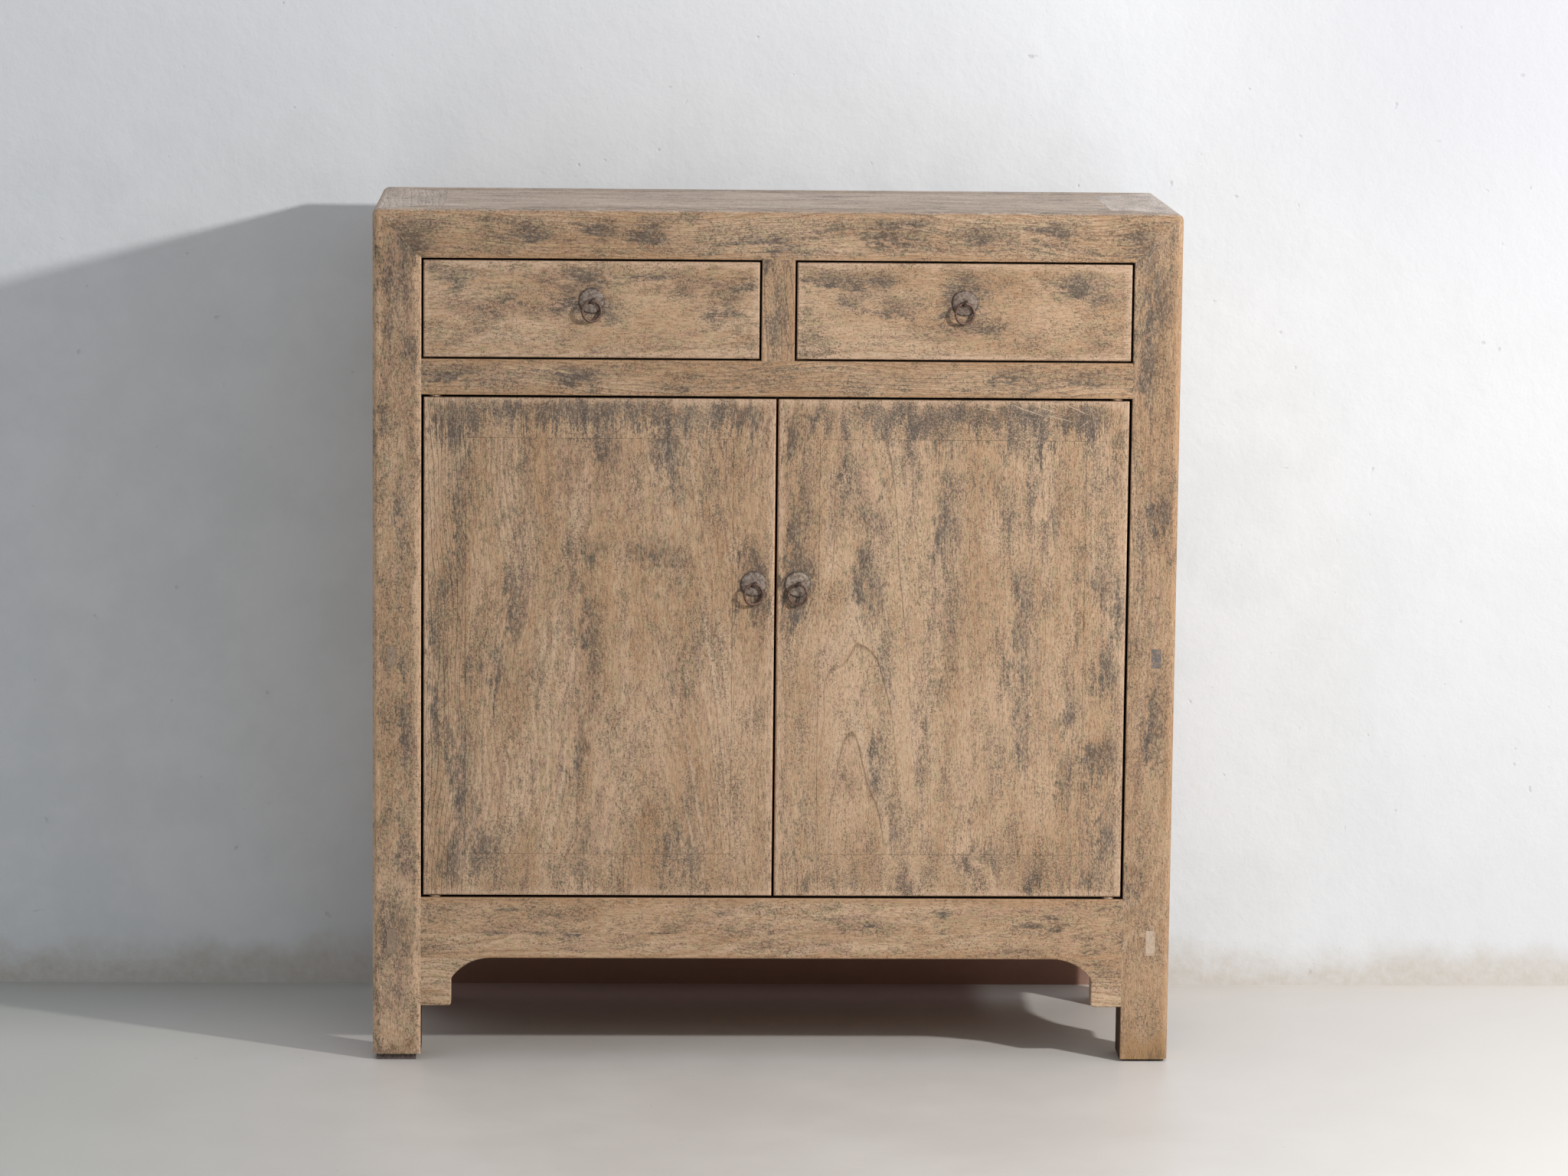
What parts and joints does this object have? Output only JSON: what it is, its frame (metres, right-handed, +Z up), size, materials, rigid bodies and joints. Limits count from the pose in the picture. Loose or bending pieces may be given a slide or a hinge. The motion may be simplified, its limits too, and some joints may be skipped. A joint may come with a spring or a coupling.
{
  "type": "kang cabinet",
  "caption": "Low wooden side cabinet with mitred corner posts, drawers over pivot-hung doors, iron ring pulls and bracketed aprons.",
  "frame": {"origin": "on the floor, under the middle of the overall box", "axes": "+X to the right as seen from the front, -Y out of the front, +Z up"},
  "size_m": [1, 0.3846, 1.069],
  "materials": {
    "frame_wood": "washed and sanded open-grained elm",
    "top_wood": "worn greyish elm",
    "panel_wood": "washed elm boards",
    "door_wood": "washed and sanded elm",
    "drawer_wood": "washed and sanded elm with dark residue",
    "inner_wood": "bare planed softwood",
    "plate_iron": "dull worn iron",
    "ring_iron": "dark forged iron",
    "foot_pad": "dark pad"
  },
  "bodies": {
    "case": {"leg_front_left": "frame_wood", "leg_front_right": "frame_wood", "leg_back_left": "frame_wood", "leg_back_right": "frame_wood", "top_rail_front": "frame_wood", "top_rail_back": "frame_wood", "top_rail_left": "frame_wood", "top_rail_right": "frame_wood", "top_board_front": "top_wood", "top_board_back": "top_wood", "top_battens": "inner_wood", "drawer_rail": "frame_wood", "drawer_divider": "frame_wood", "bottom_rail_front": "frame_wood", "apron_front": "frame_wood", "front_brackets": "frame_wood", "side_brackets": "frame_wood", "side_rail_left": "frame_wood", "side_rail_right": "frame_wood", "shelf_rail_left": "frame_wood", "shelf_rail_right": "frame_wood", "side_panel_left": "panel_wood", "side_panel_right": "panel_wood", "back_rail_low": "frame_wood", "back_post": "frame_wood", "back_drawer_rail": "inner_wood", "back_panel_left": "panel_wood", "back_panel_right": "panel_wood", "floor_board": "inner_wood", "shelf": "inner_wood", "drawer_runners": "inner_wood", "drawer_guides": "inner_wood", "drawer_stops": "inner_wood", "door_stop": "inner_wood", "foot_pad_front_left": "foot_pad", "foot_pads": "foot_pad"},
    "door_left": {"door_left_hinge_stile": "door_wood", "door_left_meeting_stile": "door_wood", "door_left_rails": "door_wood", "door_left_panel": "door_wood", "door_left_pull_plate": "plate_iron"},
    "drawer_left": {"drawer_left_front": "drawer_wood", "drawer_left_sides": "inner_wood", "drawer_left_back": "inner_wood", "drawer_left_bottom": "inner_wood", "drawer_left_pull_plate": "plate_iron"},
    "door_ring_left": {"door_left_ring": "ring_iron"},
    "drawer_ring_left": {"drawer_left_ring": "ring_iron"},
    "door_right": {"door_right_hinge_stile": "door_wood", "door_right_meeting_stile": "door_wood", "door_right_rails": "door_wood", "door_right_panel": "door_wood", "door_right_pull_plate": "plate_iron"},
    "drawer_right": {"drawer_right_front": "drawer_wood", "drawer_right_sides": "inner_wood", "drawer_right_back": "inner_wood", "drawer_right_bottom": "inner_wood", "drawer_right_pull_plate": "plate_iron"},
    "door_ring_right": {"door_right_ring": "ring_iron"},
    "drawer_ring_right": {"drawer_right_ring": "ring_iron"}
  },
  "joints": [
    {"name": "door_left_hinge", "type": "hinge", "parent": "case", "child": "door_left", "pos_m": [-0.422, -0.1717, 0.208], "axis": [0, 0, -1], "range_deg": [0, 115]},
    {"name": "drawer_left_slide", "type": "slide", "parent": "case", "child": "drawer_left", "axis": [0, -1, 0], "range_m": [0, 0.25]},
    {"name": "door_ring_left_swing", "type": "hinge", "parent": "door_left", "child": "door_ring_left", "pos_m": [-0.0275, -0.1877, 0.606], "axis": [-1, 0, 0], "range_deg": [0, 150]},
    {"name": "drawer_ring_left_swing", "type": "hinge", "parent": "drawer_left", "child": "drawer_ring_left", "pos_m": [-0.23025, -0.1877, 0.9575], "axis": [-1, 0, 0], "range_deg": [0, 150]},
    {"name": "door_right_hinge", "type": "hinge", "parent": "case", "child": "door_right", "pos_m": [0.422, -0.1717, 0.208], "axis": [0, 0, 1], "range_deg": [0, 115]},
    {"name": "drawer_right_slide", "type": "slide", "parent": "case", "child": "drawer_right", "axis": [0, -1, 0], "range_m": [0, 0.25]},
    {"name": "door_ring_right_swing", "type": "hinge", "parent": "door_right", "child": "door_ring_right", "pos_m": [0.0275, -0.1877, 0.606], "axis": [-1, 0, 0], "range_deg": [0, 150]},
    {"name": "drawer_ring_right_swing", "type": "hinge", "parent": "drawer_right", "child": "drawer_ring_right", "pos_m": [0.23025, -0.1877, 0.9575], "axis": [-1, 0, 0], "range_deg": [0, 150]}
  ]
}
